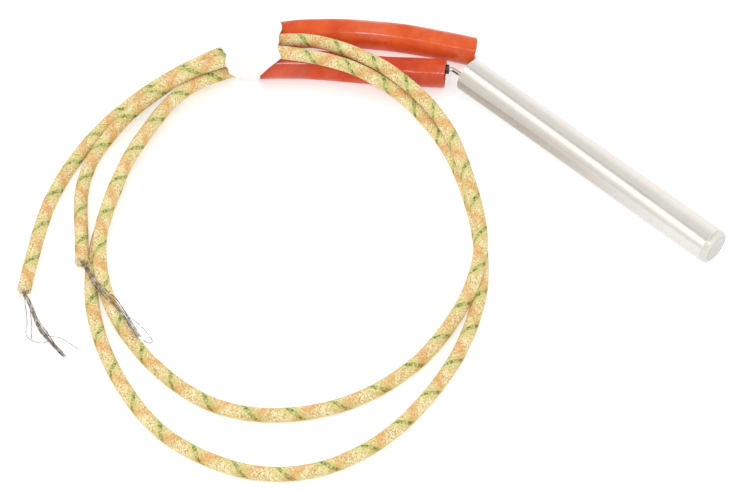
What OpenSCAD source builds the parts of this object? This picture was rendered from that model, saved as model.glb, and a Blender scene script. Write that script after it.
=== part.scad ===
// Cartridge heater with two braided leads, lying on a bench.
// X runs along the sheath from its lead end, Z is up and the sheath's axis is at Y = 0, Z = 0.

/* [Sheath] */
// Outside diameter of the sheath
sheath_d = 9.5; // [9.2:0.1:11]
// Length from the lead end to the outer face of the end disc
sheath_l = 85.7; // [70:0.1:120]
// Wall of the sheath
sheath_wall = 0.9; // [0.6:0.05:1]

/* [End disc] */
// Thickness of the disc outside the sheath
disc_t = 1.6; // [1.3:0.1:3]
// Radius of the disc's rounded weld edge
disc_round = 1.1; // [0.6:0.1:1.2]
// Depth of the seam groove between disc and sheath
seam_depth = 0.15; // [0.1:0.05:0.3]
// Length of the disc's spigot inside the sheath
spigot_l = 2; // [1:0.1:4]

/* [Insulation] */
// Length of the ceramic seal at the lead end
seal_l = 5; // [3:0.1:8]
// How far the seal sits inside the lead end
seal_recess = 0.8; // [0.3:0.1:2]
// Thickness of the ceramic spacer behind the end disc
spacer_t = 3; // [2:0.1:5]
// Thickness of the packed oxide round the winding
fill_t = 0.5; // [0.3:0.05:0.7]
// Ceramic left between a pin's hole and the core's outside
pin_cover = 0.45; // [0.3:0.05:0.6]
// Room at each end of the core for the winding's welds
weld_room = 2.5; // [2.2:0.1:4]

/* [Winding] */
// Diameter of the resistance wire
wire_d = 0.4; // [0.3:0.05:0.5]
// Whole turns on the core, besides the last half turn
coil_turns = 32; // [20:1:36]
// How far the winding stays from the core's ends
coil_margin = 1; // [0.6:0.1:3]

/* [Terminals] */
// Diameter of the terminal pins
pin_d = 1.2; // [1:0.05:1.3]
// Radius of the hand bends in the pins
pin_bend = 2; // [1.5:0.1:2.1]
// Outside diameter of the crimp barrels
crimp_d = 2.6; // [2.4:0.1:3]
// Length of the crimp barrels
crimp_l = 10; // [8:0.1:12]
// Depth of each crimp dent
dent_depth = 0.3; // [0.1:0.05:0.4]

/* [Leads] */
// Outside diameter of a braided lead
lead_d = 3.4; // [3:0.1:3.6]
// Diameter of the stranded conductor
conductor_d = 1.2; // [0.8:0.1:1.3]
// Diameter of one strand
strand_d = 0.34; // [0.2:0.02:0.36]
// Sideways spread of the loose strands at the free ends
fray = 3; // [0:0.1:4]

/* [Sleeves and tie] */
// Outside diameter of a sleeve
sleeve_d = 8.1; // [7.9:0.1:8.2]
// Wall of a sleeve
sleeve_wall = 0.85; // [0.5:0.05:0.9]
// How far the cut at the near sleeve's mouth runs back
near_cut = 0.5; // [0:0.1:1.5]
// How far the cut at the far sleeve's mouth runs back
far_cut = 0.2; // [0:0.1:1]
// How far the tape reaches over the near sleeve
near_hold = 0.6; // [0.5:0.1:2]
// How far the tape reaches over the far sleeve
far_hold = 4; // [3:0.1:5]
// Thickness of the wrapped tape
tape_t = 0.3; // [0.1:0.05:0.35]

/* [Clearances] */
// Gap between pieces that slide into each other
fit = 0.05; // [0.02:0.01:0.1]
// Gap between the tape and what it holds
tape_fit = 0.3; // [0.3:0.01:0.35]

/* [Hidden] */
$fn = 48;
floor_z = -sheath_d / 2;
bore_d = sheath_d - 2 * sheath_wall;
wall_l = sheath_l - disc_t;
spigot_x = wall_l - spigot_l;
spacer_x = spigot_x - spacer_t;
seal_end = seal_recess + seal_l;
core_x = seal_end + weld_room;
core_n = 4;
core_end = spacer_x - weld_room;
core_l = (core_end - core_x) / core_n;
hole_d = pin_d + 2 * fit;
coil_sides = 6;
coil_steps = 12;
fill_r = bore_d / 2 - fit - fill_t;
coil_r = fill_r - fit - wire_d / 2;
core_d = 2 * (coil_r * cos(180 / coil_steps) - wire_d / 2 - fit);
pin_offset = core_d / 2 - pin_cover - hole_d / 2;
weld_r = pin_offset + pin_d / 2 + fit + wire_d / 2;
coil_ends = [core_x + coil_margin, core_end - coil_margin];
pin_tail = weld_room - 0.9;
weld_l = weld_room - 0.5;
weld_start = weld_l / 2;
pin_in_crimp = 4;
crimp_bore = max(pin_d, conductor_d) + 2 * fit;
lead_sides = 8;
strand_sides = 5;
sleeve_sides = 20;
sleeve_steps = 3;
band_sides = 28;
pin_sides = 12;
bend_steps = 3;
// Crimp barrels: where each starts, and how far its axis turns from -X towards -Y
crimp_1_turn = 40;
crimp_1_start = [-5.1, -2.3, 0];
crimp_1_dir = [-cos(crimp_1_turn), -sin(crimp_1_turn), 0];
crimp_2_turn = 28;
crimp_2_dir = [-cos(crimp_2_turn), -sin(crimp_2_turn), 0];
// Corners at which the pins are bent by hand
short_pin_corner = crimp_1_start - crimp_1_dir * (crimp_1_start[1] + pin_offset) / crimp_1_dir[1];
long_pin_corner = [-0.9, pin_offset, 0];
long_pin_turn_in = [-3.2, 6.8, 0];
crimp_2_start = long_pin_turn_in + 2.9 * crimp_2_dir;
// Where each lead passes through the tie, as [x, y, height above the bench]
lead_1_out = [-47.5, -42.3, 4.6];
lead_2_out = [-50.2, -40, 2.5];
lead_1_back = [-43.5, -28.5, 8.6];
lead_2_back = [-39.5, -33, 10.6];
lead_1_mid = [-48.5, -35, 8.3];
lead_2_mid = [-45, -38.5, 10.4];
lead_1_tail = [-52.7, -40.6, 6.9];
lead_2_tail = [-48.5, -43.6, 9.6];
// Where each sleeve starts and ends, and the points between
sleeve_1_mouth = [-5, -3.5, 4.1];
sleeve_2_mouth = [-4.7, 7.5, 4.1];
sleeve_1_end = [-45, -37.5, 4.7];
sleeve_2_end = [-49, -28, 4.8];
sleeve_1_route = [
  sleeve_1_mouth, [-11.5, -9, 4.1], [-18, -14.5, 4.1], [-28, -22, 4.2], [-36.5, -29, 4.4], sleeve_1_end
];
sleeve_2_route = [
  sleeve_2_mouth, [-14, 2.5, 4.1], [-24, -3.5, 4.1], [-34.5, -11.5, 4.2], [-43.5, -20.5, 4.5], sleeve_2_end
];
// Lead from the near sleeve: one turn of the loop, back under the tie and out to its free end
lead_1_route = [
  [-15, -12, 3.1], [-33, -26.5, 3], [-44, -36.5, 3.3], lead_1_out, [-51, -51, 5], [-52.5, -60, 5],
  [-48, -80, 5.1], [-42, -92.5, 5.1], [-34.5, -104.5, 5.1], [-27.8, -110.9, 4.7], [-21, -115.6, 2.8],
  [-11.5, -119.5, 1.7], [0, -122, 1.7], [24, -120.5, 1.7], [35, -114.5, 1.7], [44.5, -103.5, 1.7],
  [50, -91, 1.7], [52, -77.5, 1.7], [49, -57, 2.6], [46.5, -49.5, 5], [41, -41, 5.4], [33.5, -34, 5.4],
  [21.6, -25.6, 5.3], [10.1, -18.9, 5.2], [-1.7, -15.8, 6.7], [-14.6, -15.9, 9.1], [-22.2, -17.9, 10.1],
  [-29.5, -20.1, 9.6], [-38.3, -22.7, 7.7], lead_1_back, lead_1_mid, lead_1_tail, [-57.5, -51, 4.8],
  [-60.5, -61, 2.8], [-61.5, -72, 1.8], [-60.5, -83, 1.7], [-57.5, -95, 1.7], [-52.5, -107, 1.7],
  [-45, -118.5, 1.7], [-36.5, -130, 1.7]
];
// Lead from the far sleeve, outside and under the other
lead_2_route = [
  [-21.5, -2.4, 3.1], [-34, -11, 2.9], [-44.5, -22, 3.1], [-49.2, -28.5, 3.3], lead_2_out, [-54.5, -58, 1.7],
  [-50, -79.5, 1.7], [-43.4, -91.5, 1.7], [-36.3, -103.4, 1.7], [-29.1, -113.1, 1.7], [-20, -121.5, 1.7],
  [-8, -128.5, 1.7], [6, -133, 1.7], [20, -135, 1.7], [33.5, -133, 1.7], [46, -127, 1.7], [55.5, -116.5, 1.7],
  [60.5, -103, 1.7], [61, -89, 1.7], [58.5, -73, 1.7], [55, -61, 1.7], [49, -49, 1.7], [40, -39.5, 1.7],
  [29, -31, 1.7], [15.6, -23, 1.7], [4, -18.9, 2.2], [-8.3, -17.6, 4.1], [-17.8, -20.4, 7.5],
  [-26.9, -24.6, 9.5], lead_2_back,
  lead_2_mid, lead_2_tail, [-54.3, -54, 8], [-57, -63, 5.3], [-58, -73, 3.8], [-57, -82, 2.4],
  [-54.5, -90.5, 1.8], [-48.3, -99.5, 1.7], [-39, -107.7, 2.4], [-30.8, -114.8, 4.1]
];
// Stripped conductors past the free ends
bare_1_route = [
  [-33.8, -131.2, 1.1], [-30.3, -132.7, 0.8], [-27.2, -134, 0.8], [-24.5, -134.8, 0.8], [-21.5, -135.4, 0.8],
  [-18.6, -136, 0.8], [-16.2, -136.2, 0.8], [-14.2, -136.3, 0.8]
];
bare_2_route = [
  [-28.5, -115.5, 4.4], [-24.2, -117, 4.4], [-20.8, -117.7, 4.5], [-18, -117.9, 4.5], [-15.9, -117.8, 4.5],
  [-13.3, -118.2, 4.4], [-10.4, -118.8, 4.2], [-7.3, -119.7, 4.2], [-4.7, -120.5, 4.2], [-2.3, -121.2, 4.2]
];
steel = "silver";
nickel = "darkgray";
ceramic = "ivory";
sleeve_red = "tomato";
braid = "khaki";

// A point given by its height above the bench, in the part's frame
function lift(p) = [p[0], p[1], p[2] + floor_z];
function lifted(points) = [for (p = points) lift(p)];
function unit(v) = v / norm(v);
function last(points) = points[len(points) - 1];
function tangent(p, i) = unit(p[min(i + 1, len(p) - 1)] - p[max(i - 1, 0)]);

// Catmull-Rom curve through the points, with steps pieces to a span
function spline_at(a, b, c, d, t) =
  (2 * b + (c - a) * t + (2 * a - 5 * b + 4 * c - d) * t * t + (3 * b - a - 3 * c + d) * t * t * t) / 2;
function spline(p, steps) = [
  for (i = [0 : len(p) - 2], k = [0 : steps - 1])
    spline_at(p[max(i - 1, 0)], p[i], p[i + 1], p[min(i + 2, len(p) - 1)], k / steps),
  last(p)
];

// One ring of a swept tube, turned so that its flats face the reference direction
function ring(p, i, ref, r, sides, cut = 0) =
  let (t = tangent(p, i), s = unit(cross(t, ref)), u = cross(s, t))
  [
    for (k = [0 : sides - 1])
      let (a = 360 * (k + 0.5) / sides)
      p[i] + r * (cos(a) * s + sin(a) * u) + cut * (1 - cos(a)) / 2 * t
  ];
function wall_faces(rings, sides, from, flip) = [
  for (i = [0 : rings - 2], k = [0 : sides - 1], half = [0, 1])
    let (
      a = from + i * sides + k,
      b = from + i * sides + (k + 1) % sides,
      face = half == 0 ? [a, b, b + sides] : [a, b + sides, a + sides]
    )
    flip ? [face[0], face[2], face[1]] : face
];
function rim_faces(outer, inner, sides, flip) = [
  for (k = [0 : sides - 1], half = [0, 1])
    let (
      n = (k + 1) % sides,
      face = half == 0 ? [outer + k, inner + k, inner + n] : [outer + k, inner + n, outer + n]
    )
    flip ? [face[0], face[2], face[1]] : face
];

// Solid tube along the points; refs is one reference direction, or one for each point
module tube(points, r, sides, refs = [0, 0, 1]) {
  n = len(points);
  each_ref = is_list(refs[0]);
  rings = [for (i = [0 : n - 1]) each ring(points, i, each_ref ? refs[i] : refs, r, sides)];
  start_cap = [for (k = [0 : sides - 1]) sides - 1 - k];
  end_cap = [for (k = [0 : sides - 1]) (n - 1) * sides + k];
  polyhedron(rings, concat([start_cap, end_cap], wall_faces(n, sides, 0, false)));
}

// Wall between n outer rings and n inner rings
module shell(rings, n, sides) {
  size = n * sides;
  faces = concat(
    wall_faces(n, sides, 0, false), wall_faces(n, sides, size, true),
    rim_faces(0, size, sides, false), rim_faces(size - sides, 2 * size - sides, sides, true)
  );
  polyhedron(rings, faces);
}

// Hollow tube along the points, its first ring cut back on one side
module hose(points, r, wall, sides, cut) {
  n = len(points);
  up = [0, 0, 1];
  rings = [
    for (radius = [r, r - wall], i = [0 : n - 1])
      each ring(points, i, up, radius, sides, i == 0 ? cut : 0)
  ];
  shell(rings, n, sides);
}

module along_x(x = 0) {
  translate([x, 0, 0])
    rotate([0, 90, 0])
      children();
}

module pin_holes(length) {
  for (side = [-1, 1])
    translate([0, side * pin_offset, -fit])
      cylinder(d = hole_d, h = length + 2 * fit);
}

// Corners rounded by a bend radius, with steps pieces to each half bend
function corner(a, b, c, r, steps) =
  let (
    u = unit(a - b),
    v = unit(c - b),
    half = acos(u * v) / 2,
    mid = unit(u + v),
    centre = b + mid * r / sin(half)
  )
  [
    for (k = [-steps : steps])
      let (t = (90 - half) * k / steps)
      centre + r * (sin(t) * unit(v - u) - cos(t) * mid)
  ];

module sheath() {
  color(steel)
    along_x()
      rotate_extrude()
        polygon([
          [bore_d / 2, 0], [sheath_d / 2, 0], [sheath_d / 2, wall_l - seam_depth],
          [sheath_d / 2 - seam_depth, wall_l], [bore_d / 2, wall_l]
        ]);
}

module end_disc() {
  edge_r = sheath_d / 2 - disc_round;
  color(steel)
    along_x(wall_l)
      rotate_extrude()
        difference() {
          union() {
            translate([0, -spigot_l])
              square([bore_d / 2 - fit, spigot_l + disc_t / 2]);
            square([edge_r, disc_t]);
            square([sheath_d / 2, disc_t - disc_round]);
            translate([edge_r, disc_t - disc_round])
              intersection() {
                circle(r = disc_round);
                square(disc_round);
              }
          }
          translate([sheath_d / 2, 0])
            rotate(45)
              square(seam_depth * sqrt(2), center = true);
        }
}

module end_spacer() {
  color(ceramic)
    along_x(spacer_x)
      cylinder(d = bore_d - 2 * fit, h = spacer_t);
}

// Packed oxide round the winding
module insulation_fill() {
  color(ceramic)
    along_x(seal_end)
      difference() {
        cylinder(d = bore_d - 2 * fit, h = spacer_x - seal_end);
        translate([0, 0, -fit])
          cylinder(r = fill_r, h = spacer_x - seal_end + 2 * fit);
      }
}

// One of the core's stacked pieces
module core(i) {
  color(ceramic)
    along_x(core_x + i * core_l)
      difference() {
        cylinder(d = core_d, h = core_l);
        pin_holes(core_l);
      }
}

// Winding from the short pin's weld, round the core and in to the long pin's weld
module resistance_coil() {
  half_turns = 2 * coil_turns + 1;
  count = half_turns * coil_steps / 2;
  first_weld = [
    [core_x - weld_l, -weld_r, 0], [core_x - weld_start, -weld_r, 0], [core_x - wire_d, -coil_r, 0]
  ];
  last_weld = [
    [core_end + wire_d, coil_r, 0], [core_end + weld_start, weld_r, 0], [core_end + weld_l, weld_r, 0]
  ];
  helix = [
    for (i = [0 : count])
      let (a = 180 + 360 * i / coil_steps, x = coil_ends[0] + (coil_ends[1] - coil_ends[0]) * i / count)
      [x, coil_r * cos(a), coil_r * sin(a)]
  ];
  path = concat(first_weld, helix, last_weld);
  color(nickel)
    tube(path, wire_d / 2, coil_sides, [for (p = path) [0, p[1], p[2]]]);
}

module short_pin() {
  inner = [core_x - fit, -pin_offset, 0];
  tip = crimp_1_start + pin_in_crimp * crimp_1_dir;
  bend = corner(inner, short_pin_corner, tip, pin_bend, bend_steps);
  color(nickel)
    tube(concat([inner], bend, [tip]), pin_d / 2, pin_sides);
}

module long_pin() {
  inner = [core_end + pin_tail, pin_offset, 0];
  tip = crimp_2_start + pin_in_crimp * crimp_2_dir;
  bend_out = corner(inner, long_pin_corner, long_pin_turn_in, pin_bend, bend_steps);
  bend_in = corner(long_pin_corner, long_pin_turn_in, tip, pin_bend, bend_steps);
  color(nickel)
    tube(concat([inner], bend_out, bend_in, [tip]), pin_d / 2, pin_sides);
}

module lead_end_seal() {
  color(ceramic)
    along_x(seal_recess)
      difference() {
        cylinder(d = bore_d - 2 * fit, h = seal_l);
        pin_holes(seal_l);
      }
}

// Barrel with two dents across it
module crimp(start, turn) {
  dent_r = crimp_d / 2;
  color(nickel)
    translate(start)
      rotate([0, 0, turn])
        difference() {
          along_x(-crimp_l)
            cylinder(d = crimp_d, h = crimp_l);
          along_x(-crimp_l - fit)
            cylinder(d = crimp_bore, h = crimp_l + 2 * fit);
          for (at = [0.25, 0.75])
            translate([-at * crimp_l, 0, crimp_d / 2 + dent_r - dent_depth])
              rotate([90, 0, 0])
                cylinder(r = dent_r, h = 2 * crimp_d, center = true);
        }
}

module sleeve(route, cut) {
  color(sleeve_red)
    hose(spline(lifted(route), sleeve_steps), sleeve_d / 2, sleeve_wall, sleeve_sides, cut);
}

module lead(route) {
  color(braid)
    tube(lifted(route), lead_d / 2, lead_sides);
}

// Stripped conductor from inside the crimp to the end of the lead's braid
module conductor(start, dir, route) {
  points = lifted(route);
  braid_dir = tangent(points, 0);
  crimp_end = start + crimp_l * dir;
  inner = start + (pin_in_crimp + 1) * dir;
  path = [inner, crimp_end + 0.2 * dir, points[0] - 0.8 * braid_dir, points[0]];
  color(nickel)
    tube(path, conductor_d / 2, lead_sides);
}

// Strands round one, leaving the braid's end square and fanning out sideways towards the tip
module bare_end(route, lead_route) {
  braid = lifted(lead_route);
  end = last(braid);
  out_dir = tangent(braid, len(braid) - 1);
  points = concat([end + fit * out_dir, end + out_dir], lifted(route));
  n = len(points) - 1;
  gap = strand_d * 1.08;
  color(nickel)
    for (k = [0 : 6]) {
      strand = [
        for (i = [0 : n])
          let (
            t = tangent(points, i),
            s = unit(cross(t, [0, 0, 1])),
            u = cross(s, t),
            a = 60 * k + 20,
            out = k == 0 ? 0 : gap,
            wide = 1 + fray * pow(i / n, 2)
          )
          points[i] + out * (wide * cos(a) * s + sin(a) * u)
      ];
      tube(strand, strand_d / 2, strand_sides);
    }
}

// Ring round a set of [centre, diameter] discs, as tight as a band pulled round them
function band_ring(discs, t, extra, sides) =
  let (s = unit(cross(t, [0, 0, 1])), u = cross(s, t))
  [
    for (k = [0 : sides - 1])
      let (
        a = 360 * (k + 0.5) / sides,
        out = cos(a) * s + sin(a) * u,
        reach = [for (d = discs) d[0] * out + d[1] / 2],
        furthest = search(max(reach), reach)[0],
        disc = discs[furthest]
      )
      lift(disc[0]) + (disc[1] / 2 + extra) * out
  ];

// Tape round the sleeves' ends and the four runs of lead that pass there
module tie_band() {
  outward = unit(lead_1_tail - lead_1_back);
  near_in = -tangent(sleeve_1_route, len(sleeve_1_route) - 1);
  far_in = -tangent(sleeve_2_route, len(sleeve_2_route) - 1);
  inner_edge = [
    [sleeve_1_end + near_hold * near_in, sleeve_d], [sleeve_2_end + far_hold * far_in, sleeve_d],
    [lead_1_back, lead_d], [lead_2_back, lead_d]
  ];
  middle = [[sleeve_1_end, sleeve_d], [sleeve_2_end, sleeve_d], [lead_1_mid, lead_d], [lead_2_mid, lead_d]];
  outer_edge = [[lead_1_tail, lead_d], [lead_2_tail, lead_d], [lead_1_out, lead_d], [lead_2_out, lead_d]];
  rings = [
    for (extra = [tape_fit + tape_t, tape_fit], discs = [inner_edge, middle, outer_edge])
      each band_ring(discs, outward, extra, band_sides)
  ];
  color("white")
    shell(rings, 3, band_sides);
}

sheath();
end_disc();
end_spacer();
insulation_fill();
core(0);  // core_1
core(1);  // core_2
core(2);  // core_3
core(3);  // core_4
resistance_coil();
short_pin();
long_pin();
lead_end_seal();
crimp(crimp_1_start, crimp_1_turn);  // crimp_1
crimp(crimp_2_start, crimp_2_turn);  // crimp_2
sleeve(sleeve_1_route, near_cut);  // sleeve_1
sleeve(sleeve_2_route, far_cut);  // sleeve_2
conductor(crimp_1_start, crimp_1_dir, lead_1_route);  // conductor_1
conductor(crimp_2_start, crimp_2_dir, lead_2_route);  // conductor_2
lead(lead_1_route);  // lead_1
lead(lead_2_route);  // lead_2
bare_end(bare_1_route, lead_1_route);  // bare_end_1
bare_end(bare_2_route, lead_2_route);  // bare_end_2
tie_band();
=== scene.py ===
import math

import bpy
import numpy as np
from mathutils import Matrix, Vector


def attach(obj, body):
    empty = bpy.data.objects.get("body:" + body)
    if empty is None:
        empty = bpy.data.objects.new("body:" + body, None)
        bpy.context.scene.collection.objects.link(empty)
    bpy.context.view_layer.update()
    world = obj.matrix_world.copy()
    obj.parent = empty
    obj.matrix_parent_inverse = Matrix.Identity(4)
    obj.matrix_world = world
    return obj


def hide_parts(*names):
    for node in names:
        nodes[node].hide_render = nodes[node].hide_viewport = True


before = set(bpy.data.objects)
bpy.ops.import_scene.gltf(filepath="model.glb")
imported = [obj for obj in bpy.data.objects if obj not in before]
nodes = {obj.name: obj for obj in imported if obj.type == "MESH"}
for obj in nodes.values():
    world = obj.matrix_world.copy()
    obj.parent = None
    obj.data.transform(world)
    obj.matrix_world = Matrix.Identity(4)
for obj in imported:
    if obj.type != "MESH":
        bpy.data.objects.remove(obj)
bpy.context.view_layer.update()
scene = bpy.context.scene
rng = np.random.default_rng(7)

MM = 0.001
TURN = 2 * math.pi
TINY = 1e-6
# Height of the floor, in metres of the part's frame
FLOOR = -0.00475

# Camera at the photograph's viewing angle, in millimetres of the part's frame
EYE = (259.43, -314.50, 480.66)
AIM = (17.77, -57.64, -4.75)
LENS = 111.35
SENSOR = 36

# Centre lines, as x, y and height above the floor in millimetres
LEAD_1 = [
    (-15, -12, 3.1), (-33, -26.5, 3), (-44, -36.5, 3.3), (-47.5, -42.3, 4.6), (-51, -51, 5), (-52.5, -60, 5),
    (-47.5, -79.8, 5.1), (-42, -92.5, 5.1), (-34.5, -104.5, 5.1), (-28, -111.2, 4.8), (-21.4, -116, 3.3),
    (-11.8, -120, 1.7), (-0.1, -122.7, 1.7), (12, -123.2, 1.7), (24.1, -121, 1.7), (35, -114.5, 1.7),
    (44.5, -103.5, 1.7), (50, -91, 1.7), (52, -77.5, 1.7), (51.2, -67.1, 2), (49, -57, 2.6), (46.5, -49.5, 5),
    (41, -41, 5.4), (33.5, -34, 5.4), (21.6, -25.6, 5.3), (10.1, -18.9, 5.2), (-1.7, -16, 6.6),
    (-14.6, -16.3, 8.9), (-22.2, -18.3, 9.9), (-29.5, -20.1, 9.6), (-38.3, -22.7, 7.7), (-43.5, -28.5, 8.6),
    (-48.5, -35, 8.3), (-52.7, -40.6, 6.9), (-57.5, -51, 4.8), (-60.5, -61, 2.8), (-61.5, -72, 1.8),
    (-60.5, -83, 1.7), (-57.5, -95, 1.7), (-52.5, -107, 1.7), (-45, -118.5, 1.7), (-36.5, -130, 1.7),
]
LEAD_2 = [
    (-21.5, -2.4, 3.1), (-34, -11, 2.9), (-44.5, -22, 3.1), (-49.2, -28.5, 3.3), (-50.2, -40, 2.5),
    (-54.5, -58, 1.7), (-49.5, -79.3, 1.7), (-43.4, -91.5, 1.7), (-36.3, -103.4, 1.7), (-29.1, -113.1, 1.7),
    (-20, -121.5, 1.7), (-8, -128.5, 1.7), (5.9, -133.4, 1.7), (19.9, -135.4, 1.7), (33.5, -133, 1.7),
    (46, -127, 1.7), (55.5, -116.5, 1.7), (60.5, -103, 1.7), (61.4, -89, 1.7), (59.1, -73, 1.7), (55, -61, 1.7),
    (48.6, -49.4, 1.7), (39.8, -39.7, 1.7), (29, -31, 1.7), (15.6, -23, 1.7), (4, -18.9, 2.2), (-8.3, -17.6, 4.1),
    (-17.8, -20.4, 7.5), (-26.9, -24.6, 9.5), (-39.5, -33, 10.6), (-45, -38.5, 10.4), (-48.5, -43.6, 9.6),
    (-54.3, -54, 8), (-57, -63, 5.3), (-58, -73, 3.8), (-57, -82, 2.4), (-54.5, -90.5, 1.8),
    (-48.3, -99.5, 1.7), (-39, -107.7, 2.4), (-30.8, -114.8, 4.1),
]
SLEEVE_1 = [
    (-5, -3.5, 4.1), (-11.5, -9, 4.1), (-18, -14.5, 4.1), (-28, -22, 4.2), (-36.5, -29, 4.4),
    (-45, -37.5, 4.7),
]
SLEEVE_2 = [
    (-4.7, 7.5, 4.1), (-14, 2.5, 4.1), (-24, -3.5, 4.1), (-34.5, -11.5, 4.2), (-43.5, -20.5, 4.5),
    (-49, -28, 4.8),
]
# Bundles of bare strands past the leads' ends, and the single strands that stray from them
BARE_1 = [
    (-33.8, -131.2, 1.1), (-30.3, -132.7, 0.8), (-27.2, -134, 0.8), (-24.5, -134.8, 0.8), (-21.5, -135.4, 0.8),
    (-18.6, -136, 0.8), (-16.2, -136.2, 0.8), (-14.2, -136.3, 0.8),
]
BARE_2 = [
    (-28.5, -115.5, 4.4), (-24.2, -117, 4.4), (-20.8, -117.7, 4.5), (-18, -117.9, 4.5), (-15.9, -117.8, 4.5),
    (-13.3, -118.2, 4.4), (-10.4, -118.8, 4.2), (-7.3, -119.7, 4.2), (-4.7, -120.5, 4.2), (-2.3, -121.2, 4.2),
]
STRAYS_1 = [
    [(-35.5, -130.6, 1.6), (-34, -132.1, 1), (-31.2, -134.1, 0.5), (-28.7, -136.2, 0.3), (-26.6, -138.4, 0.3),
     (-24.2, -138.5, 0.3), (-21.3, -137, 0.5), (-20.8, -136, 0.9), (-17.8, -136.1, 0.9), (-14.6, -136.3, 0.8)],
    [(-32.6, -131.6, 1), (-30.4, -133.4, 0.6), (-27.8, -135.4, 0.4), (-25.6, -137.4, 0.3), (-24.7, -138.3, 0.3)],
    [(-23.2, -134.9, 0.9), (-21.7, -134.9, 1), (-19.5, -133.2, 0.6), (-16.5, -132.5, 0.3), (-13.9, -132.2, 0.2)],
]
STRAYS_2 = [
    [(-15.7, -117.9, 4.6), (-13, -118.4, 4.5), (-10.8, -118.4, 4.2), (-9.4, -117.8, 3.2), (-7.9, -117.2, 2),
     (-6.1, -116.9, 1.1), (-3.7, -117.2, 0.6), (-1.6, -117.8, 0.3), (-2.2, -119, 0.5), (-3.2, -119.5, 1.4)],
]

# Radii in millimetres: the CAD's leads, their woven jackets as the photo shows them, sleeves, strands and yarn
LEAD_R = 1.7
BRAID_R = 1.85
SLEEVE_R = 4.05
SLEEVE_WALL = 0.85
STRAND_R = 0.09
YARN_R = 0.07
# Steps between points along the lines, and the length over which the leads' bends are eased
LEAD_STEP = 0.3
LEAD_EASE = 3.0
SLEEVE_STEP = 0.4
STRAND_STEP = 0.35
# Points round each piece, and loops across the tape
LEAD_SIDES = 44
SLEEVE_SIDES = 72
TAPE_SIDES = 150
TAPE_LOOPS = 26
# Braid: the length of one turn of a yarn, and the yarns each way
PITCH = 11.0
CARRIERS = 10
# The way that the far sleeve's mouth leans
LEAN_WAY = np.array([0.415, -0.506, 0.756])


def unit(v):
    return np.asarray(v, float) / np.linalg.norm(v)


def turns(sides):
    return np.arange(sides) * TURN / sides


# Length along a line at each of its points
def arc(line):
    return np.concatenate([[0], np.cumsum(np.linalg.norm(np.diff(line, axis=0), axis=1))])


# Points of a line, whose points have the lengths s, at the lengths asked for
def sample(line, s, at):
    return np.stack([np.interp(at, s, line[:, j]) for j in range(3)], axis=1)


def even(line, step):
    s = arc(line)
    n = max(2, int(round(s[-1] / step)) + 1)
    return sample(line, s, np.linspace(0, s[-1], n))


# Even points along a Catmull-Rom curve through the route, eased by a moving average; all in millimetres
def smooth_line(route, step, ease=0.0):
    p = np.array(route, float)
    t = np.linspace(0, 1, 40, endpoint=False)[:, None]
    out = []
    for i in range(len(p) - 1):
        a, b, c, d = p[max(i - 1, 0)], p[i], p[i + 1], p[min(i + 2, len(p) - 1)]
        square, cube = 2 * a - 5 * b + 4 * c - d, 3 * b - a - 3 * c + d
        out.append((2 * b + (c - a) * t + square * t**2 + cube * t**3) / 2)
    out.append(p[-1:])
    line = even(np.vstack(out), step)
    if ease:
        reach = int(3 * ease / step)
        k = np.exp(-0.5 * (np.arange(-reach, reach + 1) * step / ease) ** 2)
        k /= k.sum()
        head = 2 * line[0] - line[reach:0:-1]
        tail = 2 * line[-1] - line[-2 : -reach - 2 : -1]
        full = np.vstack([head, line, tail])
        line = np.stack([np.convolve(full[:, j], k, "valid") for j in range(3)], axis=1)
        line = even(line, step)
    return line


LINE_1, LINE_2 = (smooth_line(route, LEAD_STEP, LEAD_EASE) for route in (LEAD_1, LEAD_2))
SLEEVE_LINE_1, SLEEVE_LINE_2 = (smooth_line(route, SLEEVE_STEP) for route in (SLEEVE_1, SLEEVE_2))


# Tangent, side and up directions along a line
def axes(line):
    t = np.gradient(line, axis=0)
    t /= np.linalg.norm(t, axis=1)[:, None]
    side = np.cross(t, [0, 0, 1.0])
    side /= np.linalg.norm(side, axis=1)[:, None]
    return t, side, np.cross(side, t)


# Metres of the part's frame from millimetres, with heights above the floor
def to_world(points):
    w = np.array(points, float) * MM
    w[..., 2] += FLOOR
    return w


# Random values that change slowly along a line, from -1 to 1
def smooth_noise(n, width):
    x = rng.normal(size=n + 6 * width)
    k = np.exp(-0.5 * (np.arange(-3 * width, 3 * width + 1) / width) ** 2)
    y = np.convolve(x, k, "valid")[:n]
    return y / (np.abs(y).max() + 1e-9)


# Smooth random field over a length and an angle, about -1 to 1; each term is a wave's length and its turns
def ripple(s, a, terms):
    out = 0
    for wave, turns_round in terms:
        out = out + np.cos(TURN * s[:, None] / wave + turns_round * a[None, :] + rng.uniform(0, TURN))
    return out / len(terms)


# Mesh from vertices in metres, with u and v for each corner; the last faces, if any, take a second material
def make_mesh(name, verts, faces, uvs=None, second=0):
    mesh = bpy.data.meshes.new(name)
    mesh.from_pydata([tuple(v) for v in verts], [], [tuple(int(i) for i in f) for f in faces])
    if uvs is not None:
        layer = mesh.uv_layers.new(name="along")
        layer.data.foreach_set("uv", np.asarray(uvs, np.float32).ravel())
    mesh.polygons.foreach_set("use_smooth", [True] * len(mesh.polygons))
    if second:
        mesh.polygons.foreach_set("material_index", [0] * (len(faces) - second) + [1] * second)
    mesh.validate()
    mesh.update()
    obj = bpy.data.objects.new(name, mesh)
    scene.collection.objects.link(obj)
    return obj


# Quads between rings of equal size, facing out along the line's own axes
def ring_quads(rings, sides, first=0, flip=False):
    i = np.repeat(np.arange(rings - 1), sides)
    k = np.tile(np.arange(sides), rings - 1)
    n = (k + 1) % sides
    a, b = first + i * sides + k, first + i * sides + n
    c, d = b + sides, a + sides
    q = np.stack([a, b, c, d] if flip else [a, d, c, b], axis=1)
    return q, i, k


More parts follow.
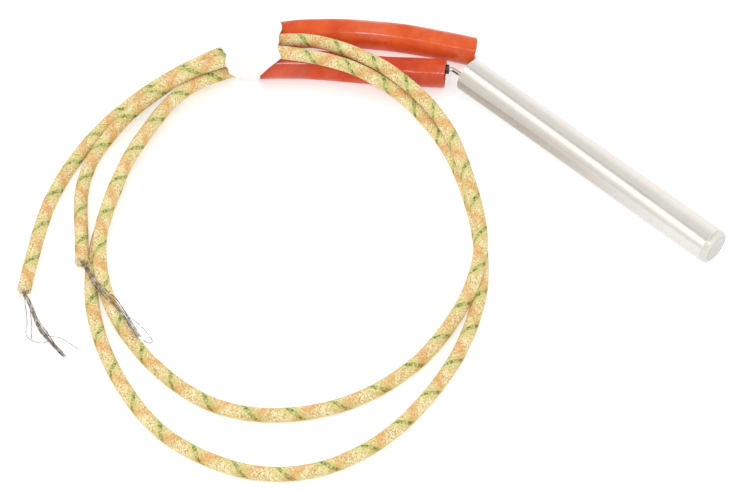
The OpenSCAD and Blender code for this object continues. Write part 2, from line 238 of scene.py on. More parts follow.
# Values of u and v at the corners of ring_quads' faces
def quad_uv(u0, u1, v0, v1):
    corners = [(u0, v0), (u0, v1), (u1, v1), (u1, v0)]
    return np.stack([np.stack(c, axis=1) for c in corners], axis=1).reshape(-1, 2)


# Faces of a hollow shell whose outer rings come before its inner ones, then the faces of its two rims
def shell_faces(rings, sides):
    inside = rings * sides
    last = inside - sides
    q, i, k = ring_quads(rings, sides)
    q_in, _, _ = ring_quads(rings, sides, inside, flip=True)
    rims = []
    for j in range(sides):
        m = (j + 1) % sides
        rims.append((j, m, inside + m, inside + j))
        rims.append((last + m, last + j, inside + last + j, inside + last + m))
    return list(q) + list(q_in), rims, i, k


def ring_points(line, radius, angle):
    _, side, up = axes(line)
    c, s = np.cos(angle)[..., None], np.sin(angle)[..., None]
    return line[:, None, :] + radius[..., None] * (c * side[:, None, :] + s * up[:, None, :])


# Solid tube with u round it, and v along it in lengths of one period
def tube(name, line, radius, period):
    n, sides = radius.shape
    pts = ring_points(line, radius, np.tile(turns(sides), (n, 1))).reshape(-1, 3)
    verts = np.vstack([pts, line[:1], line[-1:]])
    q, i, k = ring_quads(n, sides)
    v = arc(line) / period
    uv = quad_uv(k / sides, (k + 1) / sides, v[i], v[i + 1])
    caps, cap_uv = [], []
    for j in range(sides):
        m = (j + 1) % sides
        caps.append((n * sides, j, m))
        caps.append((n * sides + 1, (n - 1) * sides + m, (n - 1) * sides + j))
        cap_uv += [(j / sides, v[0])] * 3 + [(j / sides, v[-1])] * 3
    return make_mesh(name, to_world(verts), list(q) + caps, np.vstack([uv, np.array(cap_uv)]))


# One mesh of several thin round wires
def wires(name, lines, radius, material, node, sides=6):
    verts, faces, first = [], [], 0
    for line in lines:
        n = len(line)
        angle = np.tile(turns(sides), (n, 1))
        verts.append(ring_points(line, np.full((n, sides), radius), angle).reshape(-1, 3))
        faces += [tuple(f) for f in ring_quads(n, sides, first)[0]]
        faces.append(tuple(first + j for j in range(sides)))
        faces.append(tuple(first + (n - 1) * sides + sides - 1 - j for j in range(sides)))
        first += n * sides
    obj = make_mesh(name, to_world(np.vstack(verts)), faces)
    obj.data.materials.append(material)
    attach(obj, "root")
    if node:
        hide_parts(node)
    return obj


# Linear colour from eight-bit values
def srgb(*values):
    parts = [x / 255 for x in values]
    return tuple(x / 12.92 if x <= 0.04045 else ((x + 0.055) / 1.055) ** 2.4 for x in parts)


def rgba(c):
    return (*c, 1.0) if isinstance(c, tuple) and len(c) == 3 else c


# Small builder for shader graphs
class Graph:
    def __init__(self, name, world=False):
        self.mat = bpy.data.worlds.new(name) if world else bpy.data.materials.new(name)
        self.mat.use_nodes = True
        self.tree = self.mat.node_tree
        self.tree.nodes.clear()
        self.out = self.tree.nodes.new("ShaderNodeOutputWorld" if world else "ShaderNodeOutputMaterial")

    def node(self, kind, **props):
        n = self.tree.nodes.new(kind)
        for k, v in props.items():
            setattr(n, k, v)
        return n

    def put(self, socket, value):
        if isinstance(value, bpy.types.NodeSocket):
            self.tree.links.new(value, socket)
        else:
            socket.default_value = value

    # Node with its first inputs set in order
    def wired(self, kind, values, **props):
        n = self.node(kind, **props)
        for s, v in zip(n.inputs, values):
            self.put(s, v)
        return n.outputs[0]

    def math(self, op, *values):
        return self.wired("ShaderNodeMath", values, operation=op)

    def add(self, a, b):
        return self.math("ADD", a, b)

    def sub(self, a, b):
        return self.math("SUBTRACT", a, b)

    def mul(self, a, b):
        return self.math("MULTIPLY", a, b)

    def join(self, *values):
        return self.wired("ShaderNodeCombineXYZ", values)

    def split(self, vector):
        n = self.node("ShaderNodeSeparateXYZ")
        self.put(n.inputs[0], vector)
        return n.outputs[:]

    # Soft step of x between lo and hi, from a to b
    def smooth(self, x, lo, hi, a=0.0, b=1.0):
        return self.wired("ShaderNodeMapRange", (x, lo, hi, a, b), interpolation_type="SMOOTHSTEP")

    def mix(self, fac, a, b):
        n = self.node("ShaderNodeMix", data_type="RGBA")
        self.put(n.inputs["Factor"], fac)
        self.put(n.inputs[6], rgba(a))
        self.put(n.inputs[7], rgba(b))
        return n.outputs[2]

    def ramp(self, fac, stops):
        n = self.node("ShaderNodeValToRGB")
        e = n.color_ramp.elements
        while len(e) < len(stops):
            e.new(0.5)
        for el, (at, col) in zip(e, stops):
            el.position = at
            el.color = rgba(col)
        self.put(n.inputs[0], fac)
        return n.outputs[0]

    def noise(self, coords, scale, detail=3.0, rough=0.5):
        n = self.node("ShaderNodeTexNoise")
        self.put(n.inputs["Vector"], coords)
        n.inputs["Scale"].default_value = scale
        n.inputs["Detail"].default_value = detail
        n.inputs["Roughness"].default_value = rough
        return n.outputs["Fac"]

    def scaled(self, coords, scale):
        n = self.node("ShaderNodeMapping")
        self.put(n.inputs["Vector"], coords)
        n.inputs["Scale"].default_value = scale
        return n.outputs[0]

    def object_coords(self):
        return self.node("ShaderNodeTexCoord").outputs["Object"]

    def uv(self):
        return self.node("ShaderNodeUVMap", uv_map="along").outputs[0]

    def bump(self, height, strength, distance):
        n = self.node("ShaderNodeBump")
        n.inputs["Strength"].default_value = strength
        n.inputs["Distance"].default_value = distance
        self.put(n.inputs["Height"], height)
        return n.outputs[0]

    def surface(self, **values):
        b = self.node("ShaderNodeBsdfPrincipled")
        for k, v in values.items():
            s = b.inputs[k.replace("_", " ")]
            self.put(s, rgba(v) if s.type == "RGBA" else v)
        self.put(self.out.inputs["Surface"], b.outputs[0])
        return self.mat


# Woven glass jacket: two families of yarn crossing two over two, one green yarn and one orange
def braid_material():
    g = Graph("glass_braid")
    u, v, _ = g.split(g.uv())
    obj = g.object_coords()
    patch = g.noise(obj, 330.0, 4.0, 0.6)
    grain = g.noise(obj, 1500.0, 4.0, 0.65)
    # The yarns wander a little from true helices
    sway = g.mul(g.sub(g.noise(obj, 420.0, 2.0), 0.5), 0.9)
    p1 = g.add(g.mul(g.add(u, v), CARRIERS), sway)
    p2 = g.sub(g.mul(g.sub(u, v), CARRIERS), sway)
    i, j = g.math("FLOOR", p1), g.math("FLOOR", p2)
    first = g.math("LESS_THAN", g.math("FLOORED_MODULO", g.add(i, j), 4.0), 1.5)
    across = g.add(g.mul(first, g.sub(p1, i)), g.mul(g.sub(1.0, first), g.sub(p2, j)))
    edge = g.math("ABSOLUTE", g.sub(across, 0.5))
    # Each short float of yarn has its own shade
    cell = g.join(*[g.math("FLOOR", g.mul(p, 2.4)) for p in (p1, p2)])
    white = g.node("ShaderNodeTexWhiteNoise", noise_dimensions="2D")
    g.put(white.inputs["Vector"], cell)
    shade = g.add(g.mul(white.outputs["Value"], 0.6), g.mul(grain, 0.4))
    cream = g.ramp(patch, [(0.3, srgb(225, 198, 132)), (0.5, srgb(235, 211, 149)), (0.7, srgb(242, 226, 171))])
    yarn = g.mix(g.smooth(shade, 0.5, 0.75, 0.0, 0.62), cream, srgb(255, 245, 210))
    yarn = g.mix(g.smooth(shade, 0.42, 0.24, 0.0, 0.66), yarn, srgb(166, 132, 74))
    # Painted shade in the gaps between the yarns, darker towards each yarn's edges
    yarn = g.mix(g.smooth(edge, 0.3, 0.5, 0.0, 0.35), yarn, srgb(142, 118, 66))
    # How many yarns each place lies from the one coloured yarn of its family
    off = []
    for p in (p1, p2):
        q = g.math("FLOORED_MODULO", g.sub(p, 0.5), float(CARRIERS))
        off.append(g.math("MINIMUM", q, g.sub(float(CARRIERS), q)))
    # Green yarn of the first family, broken where it passes under, with a wide light tint beside it
    dash = g.mul(g.smooth(off[0], 0.4, 0.85, 1.0, 0.0), g.add(0.5, g.mul(first, 0.4)))
    tint = g.mul(g.smooth(off[0], 0.6, 3.3, 0.75, 0.0), g.smooth(shade, 0.2, 0.7, 1.1, 0.7))
    broken = g.smooth(shade, 0.34, 0.6, 1.15, 0.4)
    col = g.mix(tint, yarn, srgb(202, 198, 112))
    # Orange yarn of the second family, wide, soft and patchy
    warm = g.mul(g.smooth(off[1], 0.2, 2.8, 0.76, 0.0), g.smooth(patch, 0.34, 0.58, 0.35, 1.1))
    warm = g.mul(warm, g.smooth(shade, 0.3, 0.75, 1.05, 0.7))
    col = g.mix(warm, col, srgb(214, 154, 82))
    col = g.mix(g.mul(dash, broken), col, srgb(96, 116, 54))
    fibres = g.noise(obj, 5200.0, 2.0, 0.5)
    bump = g.bump(g.add(fibres, g.mul(grain, 1.5)), 0.55, 0.0001)
    return g.surface(Base_Color=col, Roughness=0.85, Normal=bump, Sheen_Weight=0.05, Sheen_Roughness=0.5)


# Ground steel, its fine lines running round the tube; the turned kind is for the end face
def steel_material(name, low, high, rough, turned=False):
    g = Graph(name)
    obj = g.object_coords()
    x, y, z = g.split(obj)
    lines = g.noise(g.scaled(obj, (5200.0, 260.0, 260.0)), 1.0, 3.0, 0.6)
    cloud = g.noise(g.scaled(obj, (90.0, 200.0, 200.0)), 1.0, 4.0, 0.6)
    specks = g.smooth(g.noise(obj, 1900.0, 2.0), 0.66, 0.74, 0.0, 0.35)
    col = g.mix(cloud, low, high)
    col = g.mix(specks, col, srgb(120, 112, 104))
    if turned:
        # Rings left by turning
        out = g.math("SQRT", g.add(g.math("POWER", y, 2.0), g.math("POWER", z, 2.0)))
        rings = g.noise(g.join(g.mul(out, 2600.0)), 1.0, 2.0)
        rings = g.mul(rings, g.smooth(out, 0.0042, 0.0039))
        col = g.mix(g.smooth(rings, 0.4, 0.62, 0.0, 0.6), col, srgb(146, 139, 130))
    else:
        # Painted shade near the lead end on the side towards the loop, standing in for the floor's shadow
        # mirrored in the sheath, with the grinding lines showing through it
        flank = g.add(g.smooth(y, -0.0038, -0.0047, 0.0, 0.8), g.smooth(y, -0.0015, -0.0035, 0.0, 0.2))
        painted_shade = g.mul(g.smooth(x, 0.08, 0.02), flank)
        col = g.mix(g.mul(painted_shade, g.smooth(lines, 0.25, 0.75, 1.0, 0.7)), col, srgb(170, 160, 148))
        col = g.mix(g.smooth(lines, 0.5, 0.7, 0.0, 0.14), col, srgb(158, 154, 148))
    r = g.add(g.mul(lines, 0.08), g.mul(cloud, 0.05))
    tangent = g.node("ShaderNodeTangent", direction_type="RADIAL", axis="X").outputs[0]
    return g.surface(
        Base_Color=col, Metallic=0.6, Roughness=g.add(r, rough), Anisotropic=0.6, Anisotropic_Rotation=0.25,
        Tangent=tangent, Normal=g.bump(lines, 0.12, 0.00002),
    )


# Dull drawn or pressed metal with dark oxide on it
def oxidised_material(name, low, high, rough):
    g = Graph(name)
    spots = g.noise(g.object_coords(), 1400.0, 4.0, 0.65)
    return g.surface(
        Base_Color=g.mix(g.smooth(spots, 0.36, 0.66), low, high), Metallic=1.0,
        Roughness=g.smooth(spots, 0.3, 0.7, rough + 0.15, rough), Normal=g.bump(spots, 0.3, 0.00005),
    )


# Fired ceramic, pressed powder or loose yarn
def chalky_material(name, low, high, scale):
    g = Graph(name)
    obj = g.object_coords()
    coarse, fine = g.noise(obj, scale, 4.0, 0.6), g.noise(obj, scale * 6, 2.0, 0.5)
    return g.surface(
        Base_Color=g.mix(coarse, low, high), Roughness=0.8, Normal=g.bump(fine, 0.4, 0.00006),
    )


# Rubber-coated glass sleeve: faint weave under an uneven coat, and a dusty bloom
def sleeve_material(name, low, middle, high):
    g = Graph(name)
    u, v, _ = g.split(g.uv())
    obj = g.object_coords()
    # Two families of 30 threads that cross
    waves = [g.math("SINE", g.add(g.mul(u, 30.0 * TURN), g.mul(v, slope))) for slope in (5.6, -5.6)]
    cloud = g.noise(obj, 190.0, 4.0, 0.55)
    dust = g.noise(obj, 900.0, 4.0, 0.65)
    gloss = g.noise(obj, 75.0, 2.0)
    col = g.ramp(cloud, [(0.3, low), (0.5, middle), (0.72, high)])
    col = g.mix(g.smooth(dust, 0.52, 0.75, 0.0, 0.3), col, srgb(232, 128, 94))
    height = g.add(g.mul(g.mul(*waves), 0.5), g.mul(dust, 0.8))
    return g.surface(
        Base_Color=col, Roughness=g.smooth(dust, 0.3, 0.7, 0.42, 0.56), Normal=g.bump(height, 0.22, 0.00006),
        Sheen_Weight=0.06, Sheen_Roughness=0.3, Specular_IOR_Level=0.12,
        Coat_Weight=g.smooth(gloss, 0.42, 0.6, 0.15, 0.9), Coat_Roughness=0.17,
    )


# Cut edge of the sleeve, where the glass yarn shows
def cut_edge_material():
    g = Graph("sleeve_cut_edge")
    ends = g.noise(g.object_coords(), 2600.0, 3.0, 0.6)
    col = g.ramp(ends, [(0.35, srgb(178, 72, 58)), (0.55, srgb(214, 150, 140)), (0.7, srgb(226, 196, 190))])
    return g.surface(Base_Color=col, Roughness=0.75, Normal=g.bump(ends, 0.5, 0.0001))


# White woven tape, with its threads just showing
def tape_material():
    g = Graph("white_tape")
    u, v, _ = g.split(g.uv())
    threads = [g.math("SINE", g.mul(x, 15.0)) for x in (u, v)]
    cloud = g.noise(g.object_coords(), 300.0, 4.0, 0.6)
    col = g.mix(cloud, srgb(242, 241, 239), srgb(247, 247, 246))
    height = g.add(g.mul(g.add(*threads), 0.3), cloud)
    return g.surface(Base_Color=col, Roughness=0.7, Normal=g.bump(height, 0.2, 0.00006))


# Drawn copper strand, tinned and tarnished
def strand_material():
    g = Graph("tarnished_strand")
    obj = g.object_coords()
    spots = g.noise(obj, 700.0, 3.0, 0.6)
    col = g.ramp(spots, [(0.36, srgb(92, 83, 75)), (0.52, srgb(150, 139, 127)), (0.64, srgb(228, 218, 204))])
    return g.surface(
        Base_Color=col, Metallic=0.6, Roughness=g.smooth(spots, 0.35, 0.65, 0.42, 0.24),
        Normal=g.bump(g.noise(obj, 4000.0), 0.2, 0.00003),
    )


MATS = {
    "braid": braid_material(),
    "steel": steel_material("ground_steel", srgb(220, 217, 211), srgb(231, 228, 223), 0.045),
    "disc": steel_material("disc_steel", srgb(202, 198, 192), srgb(229, 227, 222), 0.14, turned=True),
    "nickel": oxidised_material("nickel_pin", srgb(184, 181, 176), srgb(226, 223, 218), 0.22),
    "crimp": oxidised_material("oxidised_crimp", srgb(46, 42, 40), srgb(108, 100, 94), 0.42),
    "coil": oxidised_material("winding_wire", srgb(84, 76, 66), srgb(132, 120, 104), 0.36),
    "ceramic": chalky_material("fired_ceramic", srgb(222, 216, 200), srgb(240, 236, 226), 900.0),
    "oxide": chalky_material("packed_oxide", srgb(230, 228, 220), srgb(244, 243, 239), 2200.0),
    "sleeve_far": sleeve_material("sleeve_coat_far", srgb(203, 71, 26), srgb(216, 85, 34), srgb(226, 99, 46)),
    # The near sleeve's colours are a darker copy of the far sleeve's: painted shade
    "sleeve_near": sleeve_material("sleeve_coat_near", srgb(188, 57, 22), srgb(202, 68, 28), srgb(215, 83, 41)),
    "cut": cut_edge_material(),
    "tape": tape_material(),
    "strand": strand_material(),
    "yarn": chalky_material("loose_yarn", srgb(238, 222, 184), srgb(252, 244, 222), 900.0),
}
# CAD nodes that stay, and the material of each
DRESSED = {
    "sheath": "steel", "end_disc": "disc", "end_spacer": "ceramic", "insulation_fill": "oxide",
    "core_1": "ceramic", "core_2": "ceramic", "core_3": "ceramic", "core_4": "ceramic",
    "resistance_coil": "coil", "short_pin": "nickel", "long_pin": "nickel", "lead_end_seal": "ceramic",
    "crimp_1": "crimp", "crimp_2": "crimp", "conductor_1": "strand", "conductor_2": "strand",
}


# Height of the weave, from 0 in its gaps to 1 on top, for angles in turns and lengths in pitches
def weave(u, v):
    p1, p2 = CARRIERS * (u + v), CARRIERS * (u - v)
    i, j = np.floor(p1), np.floor(p2)
    first = np.mod(i + j, 4) < 1.5
    across = np.where(first, p1 - i, p2 - j)
    along = np.where(first, np.mod(i + p2, 4), np.mod(p1 + j, 4) - 2)
    dome = np.sqrt(np.clip(1 - (2 * across - 1) ** 2, 0, 1))
    return dome * (0.55 + 0.45 * np.sin(np.pi * np.clip(along, 0, 2) / 2))


# Radii cut back where a soft lead meets the floor, a sleeve, the other lead or a far part of itself
def pressed(line, radius, other):
    # Points next to a point on its own line, which don't press on it, and the depth of a line's near part
    neighbours, depth = 50, 1.5
    beyond = 99.0
    _, side, up = axes(line)
    turn = turns(radius.shape[1])
    ways = np.cos(turn)[None, :, None] * side[:, None, :] + np.sin(turn)[None, :, None] * up[:, None, :]
    radius = np.minimum(radius, (line[:, None, 2] - 0.02) / np.maximum(-ways[..., 2], TINY))
    for core in (line, other):
        for i, at in enumerate(line):
            gap = core - at
            far = np.linalg.norm(gap, axis=1)
            if core is line:
                far[max(i - neighbours, 0) : i + neighbours] = beyond
            if far.min() < 2 * BRAID_R:
                near = gap[far < far.min() + depth]
                half_way = (near**2).sum(axis=1) / np.maximum(2 * ways[i] @ near.T, TINY)
                radius[i] = np.minimum(radius[i], half_way.min(axis=1) - 0.01)
    limit = SLEEVE_R + 0.06
    for core in (SLEEVE_LINE_1, SLEEVE_LINE_2):
        for i, at in enumerate(line):
            gap = core - at
            far = np.linalg.norm(gap, axis=1)
            if limit < far.min() < limit + BRAID_R:
                near = gap[far < far.min() + depth]
                along = ways[i] @ near.T
                cut = along**2 - (near**2).sum(axis=1) + limit**2
                meets = (along > 0) & (cut > 0)
                entry = np.where(meets, along - np.sqrt(np.maximum(cut, 0)), beyond)
                radius[i] = np.minimum(radius[i], entry.min(axis=1))
    return radius


def braided_lead(name, line, other, node):
    u = np.arange(LEAD_SIDES) / LEAD_SIDES
    h = weave(u[None, :], arc(line)[:, None] / PITCH)
    slow = smooth_noise(len(line), 30)[:, None]
    radius = BRAID_R - 0.1 + 0.08 * h + 0.02 * slow
    lead = tube(name, line, pressed(line, radius, other), PITCH)
    # The studio photo shows no leads mirrored in the sheath
    lead.visible_glossy = False
    lead.data.materials.append(MATS["braid"])
    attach(lead, "root")
    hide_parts(node)
    return lead


# Hollow sleeve, its mouth cut back on one side and leaning, with ridges as (angle, from, to, height)
def sleeve(name, line, node, cut_back, lean, ridges):
    n, sides = len(line), SLEEVE_SIDES
    s = arc(line)
    a = turns(sides)
    outer = SLEEVE_R - 0.06 + 0.045 * ripple(s, a, [(31, 1), (47, 2), (19, 2), (13, 3), (70, 4), (9, 1)])
    for angle, lo, hi, height in ridges:
        gap = np.angle(np.exp(1j * (a - math.radians(angle))))
        along = np.clip((s - lo) / 3, 0, 1) * np.clip((hi - s) / 3, 0, 1)
        outer = outer + height * along[:, None] * np.exp(-((gap / 0.16) ** 2))[None, :]
    inner = np.full((n, sides), SLEEVE_R - SLEEVE_WALL + 0.02)
    angle = np.tile(a, (n, 1))
    t, _, _ = axes(line)
    # The slant fades over 5 mm from the mouth, and the rims' small waves over 1.5 mm and 2 mm
    fade = np.clip(1 - s / 5, 0, 1)[:, None]
    mouth = 0.1 * np.cos(7 * a + 1.3)[None, :] * np.clip(1 - s / 1.5, 0, 1)[:, None]
    tail = 0.25 * np.cos(5 * a + 0.4)[None, :] * np.clip(1 - (s[-1] - s) / 2, 0, 1)[:, None]
    rings = []
    for radius in (outer, inner):
        pts = ring_points(line, radius, angle)
        facing = (pts - line[:, None, :]) @ LEAN_WAY / radius
        back = cut_back * (1 - np.cos(a))[None, :] / 2 * fade - lean * facing * fade
        pts = pts + (back + np.abs(mouth) - np.abs(tail))[..., None] * t[:, None, :]
        rings.append(pts.reshape(-1, 3))
    walls, rims, i, k = shell_faces(n, sides)
    uv = quad_uv(k / sides, (k + 1) / sides, s[i], s[i + 1])
    rim_uv = np.repeat(np.arange(sides) / sides, 8)
    uvs = np.vstack([uv, uv, np.stack([rim_uv, np.zeros(8 * sides)], axis=1)])
    obj = make_mesh(name, to_world(np.vstack(rings)), walls + rims, uvs, second=len(rims))
    obj.data.materials.append(MATS[name])
    obj.data.materials.append(MATS["cut"])
    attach(obj, "root")
    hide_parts(node)
    return obj


# Tight loops round discs, and their outward directions; the discs go from station to station along the tape
def tape_loops(stations, out):
    side = unit(np.cross(out, [0, 0, 1.0]))
    up = np.cross(side, out)
    turn = np.linspace(0, TURN, 720, endpoint=False)
    dirs = np.cos(turn)[:, None] * side + np.sin(turn)[:, None] * up
    rings, normals = [], []
    for k in range(TAPE_LOOPS):
        w = 2 * k / (TAPE_LOOPS - 1)
        b = min(int(w), 1)
        f = w - b
        discs = stations[b] * (1 - f) + stations[b + 1] * f
        # The leads' discs go to where the leads run
        for m, line in enumerate((LINE_1, LINE_2, LINE_1, LINE_2)):
            near_by = line[np.linalg.norm(line - discs[m, :3], axis=1).argmin()]
            share = 1.0 if m > 1 else b * f
            discs[m, :3] += share * (near_by - discs[m, :3])
        pick = (dirs @ discs[:, :3].T + discs[:, 3]).argmax(axis=1)
        hull = discs[pick, :3] + discs[pick, 3:] * dirs
        loop = np.vstack([hull, hull[:1]])
        length = arc(loop)
        # Each loop starts beside the start of the one before
        at = np.linspace(0, length[-1], 10 * TAPE_SIDES, endpoint=False)
        if rings:
            gap = sample(loop, length, at) - rings[-1][0]
            at = np.roll(at, -np.linalg.norm(gap - np.outer(gap @ out, out), axis=1).argmin())
        at = at[::10]
        normal = sample(np.vstack([dirs, dirs[:1]]), length, at)
        rings.append(sample(loop, length, at))
        normals.append(normal / np.linalg.norm(normal, axis=1)[:, None])
    return np.array(rings), np.array(normals)


# Band of wrapped tape round the sleeves' ends and the leads
def tape_band():
    near = np.array(SLEEVE_1[-1]) + 0.6 * unit(np.subtract(SLEEVE_1[-2], SLEEVE_1[-1]))
    far = np.array(SLEEVE_2[-1]) + 4.0 * unit(np.subtract(SLEEVE_2[-2], SLEEVE_2[-1]))
    # Discs as x, y, height and radius: two sleeves, later the leads out of them, and the two leads on top
    stations = np.array([
        [(*near, SLEEVE_R), (*far, SLEEVE_R),
         (-43.5, -28.5, 8.6, LEAD_R), (-39.5, -33, 10.6, LEAD_R)],
        [(*SLEEVE_1[-1], SLEEVE_R), (*SLEEVE_2[-1], SLEEVE_R),
         (-48.5, -35, 8.3, LEAD_R), (-45, -38.5, 10.4, LEAD_R)],
        [(-48.2, -43.3, 4.6, LEAD_R), (-50.5, -41.2, 2.5, LEAD_R),
         (-53.3, -41.6, 6.8, LEAD_R), (-49.1, -44.6, 9.5, LEAD_R)],
    ], float)
    # The way that lead_1 runs through the tape
    out = unit(np.array([-52.7, -40.6, 6.9]) - np.array([-43.5, -28.5, 8.6]))
    rings, normals = tape_loops(stations, out)
    a = turns(TAPE_SIDES)
    w = np.linspace(0, 1, TAPE_LOOPS)
    wrinkle = ripple(w * 10, a, [(9, 3), (14, 5), (6, 2), (22, 9), (8, 14)])
    # Two wraps, each lying a little off the one below, and edges that wander
    step = 0.1 * (w[:, None] > 0.16 + 0.05 * np.cos(a + 1)[None, :])
    step = step + 0.1 * (w[:, None] > 0.55 + 0.06 * np.cos(2 * a)[None, :])
    wander = 0.35 * np.cos(3 * a + 0.7) + 0.2 * np.cos(8 * a + 2)
    first_edge, last_edge = np.clip(1 - w / 0.25, 0, 1)[:, None], np.clip((w - 0.75) / 0.25, 0, 1)[:, None]
    slide = first_edge * wander + last_edge * np.roll(wander, 40)
    rings = rings + slide[..., None] * out
    top = rings + normals * (0.36 + step + 0.05 * wrinkle)[..., None]
    below = rings + normals * 0.24
    verts = np.vstack([top.reshape(-1, 3), below.reshape(-1, 3)])
    verts[:, 2] = np.maximum(verts[:, 2], 0.03)
    walls, rims, i, k = shell_faces(TAPE_LOOPS, TAPE_SIDES)
    uv = quad_uv(k * 0.3, k * 0.3 + 0.3, i * 0.5, i * 0.5 + 0.5)
    uvs = np.vstack([uv, uv, np.zeros((8 * TAPE_SIDES, 2))])
    obj = make_mesh("tie_tape", to_world(verts), walls + rims, uvs)
    obj.data.materials.append(MATS["tape"])
    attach(obj, "root")
    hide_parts("tie_band")
    return obj


# Points pushed out of the leads, apart from the end that they come out of, and up off the floor
def clear_of_leads(points, gap, own_lead):
    for line in (LINE_1, LINE_2):
        core = line[::2]
        if line is own_lead:
            core = core[:-14]
        for k, p in enumerate(points):
            d = p - core
            r = np.linalg.norm(d, axis=1)
            m = r.argmin()
            if r[m] < gap:
                points[k] = core[m] + d[m] / r[m] * gap
    points[:, 2] = np.maximum(points[:, 2], 0.16)
    return points


# Stripped strands past a lead's end: a bundle along the route, as wide as the widths along it, and single strays
def bare_strands(name, line, route, strays, node, count, widths, lay):
    end, out = line[-1], unit(line[-1] - line[-6])
    core = smooth_line([end - 0.6 * out, end + 0.8 * out] + route, STRAND_STEP, 0.5)
    s = arc(core)
    _, side, up = axes(core)
    half = np.interp(s / s[-1], np.linspace(0, 1, len(widths)), widths) / 2
    lines = []
    for c in range(count):
        keep = len(core) - int(rng.integers(0, 5))
        twist = TURN * c / count + s / lay + 0.3 * smooth_noise(len(core), 12)
        # Strands lie at different depths in the bundle
        ring = 0.5 + 0.5 * ((c * 0.618) % 1)
        x = half * ring * np.cos(twist) + 0.22 * smooth_noise(len(core), 14) * np.clip(s / 6, 0, 1)
        y = np.minimum(half, 0.45) * ring * np.sin(twist)
        pts = core + x[:, None] * side + y[:, None] * up
        lines.append(clear_of_leads(pts[:keep], BRAID_R + 0.11, line)[2:])
    for stray in strays:
        lines.append(clear_of_leads(smooth_line(stray, STRAND_STEP, 0.4), BRAID_R + 0.1, line))
    return wires(name, lines, STRAND_R, MATS["strand"], node)


# Cut yarn ends that stand out round a lead's jacket
def frayed_yarn(name, line, count):
    out, side, up = (a[-1] for a in axes(line))
    t = np.linspace(0, 1, 5)[:, None]
    lines = []
    for _ in range(count):
        turn, lean, reach = rng.uniform(0, TURN), rng.uniform(-0.5, 0.55), rng.uniform(0.5, 1.5)
        radial = math.cos(turn) * side + math.sin(turn) * up
        start = line[-1] - 0.3 * out + (BRAID_R - 0.2) * radial
        pts = start + t * (0.3 + reach) * out + lean * t**2 * radial + 0.1 * t * rng.normal(size=3)
        pts[:, 2] = np.maximum(pts[:, 2], 0.08)
        lines.append(pts)
    return wires(name, lines, YARN_R, MATS["yarn"], None, 4)


def point_at(obj, place):
    obj.rotation_euler = (place - obj.location).to_track_quat("-Z", "Y").to_euler()


def add_camera():
    data = bpy.data.cameras.new("camera")
    data.sensor_width = SENSOR
    data.lens = LENS
    data.clip_start = 0.01
    cam = bpy.data.objects.new("camera", data)
    scene.collection.objects.link(cam)
    cam.location = Vector(EYE) * MM
    point_at(cam, Vector(AIM) * MM)
    scene.camera = cam


# Even white light all round; mirrors see warm walls in bands, for the lines of light and shade along the sheath
def studio_world():
    # Brightness of the bands round the sheath's axis, in half turns from the side away from the loop
    levels = [
        (0.0, 1.3), (0.14, 1.12), (0.23, 0.89), (0.31, 0.75), (0.4, 0.72), (0.46, 0.84), (0.475, 0.82),
        (0.495, 0.06), (0.54, 0.06), (0.56, 1.45), (0.6, 1.95), (0.71, 1.95), (0.745, 1.2), (0.78, 0.98),
        (0.85, 0.84), (0.91, 0.78), (1.0, 0.95),
    ]
    g = Graph("studio", world=True)
    x, y, z = g.split(g.node("ShaderNodeTexCoord").outputs["Generated"])
    turn = g.math("DIVIDE", g.math("ARCTAN2", z, y), math.pi)
    # The bands run slantwise, so that they move across the sheath along its length as in the photo
    turn = g.sub(turn, g.mul(g.add(x, 0.38), 1.4))
    seen = g.ramp(turn, [(at, (v, 0.965 * v, 0.92 * v)) for at, v in levels])
    path = g.node("ShaderNodeLightPath")
    back = g.node("ShaderNodeBackground")
    g.put(back.inputs["Color"], g.mix(path.outputs["Is Glossy Ray"], (0.88, 0.88, 0.88), seen))
    g.put(g.out.inputs["Surface"], back.outputs[0])
    return g.mat


# Pale floor with a faint glow, so that shadows on it stay light
def add_floor():
    bpy.ops.mesh.primitive_plane_add(size=6, location=(0, 0, FLOOR))
    floor = bpy.context.object
    floor.name = "floor"
    g = Graph("floor_white")
    diff = g.node("ShaderNodeBsdfDiffuse")
    diff.inputs["Color"].default_value = (0.6, 0.6, 0.6, 1)
    glow = g.node("ShaderNodeEmission")
    glow.inputs["Strength"].default_value = 0.5
    both = g.wired("ShaderNodeAddShader", (diff.outputs[0], glow.outputs[0]))
    g.put(g.out.inputs["Surface"], both)
    floor.data.materials.append(g.mat)


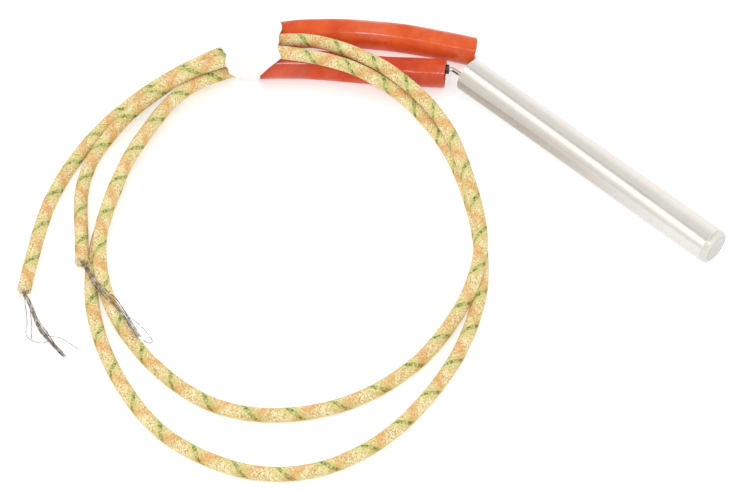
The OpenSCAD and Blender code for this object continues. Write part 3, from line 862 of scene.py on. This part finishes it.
def add_lamps():
    # Each lamp as name, place to the right of, beyond and above the heater's middle, size, power, seen in mirrors
    lamps = [
        ("overhead", (0.0, 0.2, 0.9), (0.9, 0.7), 0.9, False),
        ("left", (-0.8, 0.1, 0.7), (0.5, 0.5), 0.9, False),
        ("right", (0.8, 0.2, 0.6), (0.5, 0.5), 0.4, False),
        ("front", (-0.08, -0.27, 0.52), (0.2, 0.025), 0.6, True),
    ]
    right, away = Vector((0.728, 0.685, 0)), Vector((-0.685, 0.728, 0))
    middle = Vector((0.02, -0.05, 0))
    for name, (r, a, z), (width, depth), power, mirrored in lamps:
        data = bpy.data.lights.new(name, "AREA")
        data.shape = "RECTANGLE"
        data.size, data.size_y = width, depth
        data.energy = power
        lamp = bpy.data.objects.new(name, data)
        scene.collection.objects.link(lamp)
        lamp.location = middle + right * r + away * a + Vector((0, 0, z))
        point_at(lamp, middle)
        lamp.visible_glossy = mirrored


add_camera()
for name, key in DRESSED.items():
    nodes[name].data.materials.clear()
    nodes[name].data.materials.append(MATS[key])
lead_1 = braided_lead("lead_near", LINE_1, LINE_2, "lead_1")
lead_2 = braided_lead("lead_far", LINE_2, LINE_1, "lead_2")
sleeve(
    "sleeve_near", SLEEVE_LINE_1, "sleeve_1", cut_back=0.5, lean=0.0,
    ridges=[(134, -2, 11, 0.06), (70, 8, 40, -0.05), (175, 20, 48, 0.05)],
)
sleeve(
    "sleeve_far", SLEEVE_LINE_2, "sleeve_2", cut_back=0.7, lean=1.5,
    ridges=[(128, 4, 13, 0.07), (124, 22, 42, 0.06), (60, 10, 44, -0.05)],
)
tape = tape_band()
strands_1 = bare_strands(
    "strands_near", LINE_1, BARE_1, STRAYS_1, "bare_end_1",
    count=9, widths=(0.9, 1.0, 0.8, 1.7, 0.9, 1.1), lay=14,
)
strands_2 = bare_strands(
    "strands_far", LINE_2, BARE_2, STRAYS_2, "bare_end_2",
    count=8, widths=(0.8, 1.8, 2.8, 2.8, 1.8, 1.2, 1.0), lay=60,
)
fray_1 = frayed_yarn("fray_near", LINE_1, 30)
fray_2 = frayed_yarn("fray_far", LINE_2, 30)
add_floor()
scene.world = studio_world()
add_lamps()
scene.view_settings.view_transform = "Standard"

for lead, line, n in ((lead_1, LINE_1, 1), (lead_2, LINE_2, 2)):
    w = to_world(line)
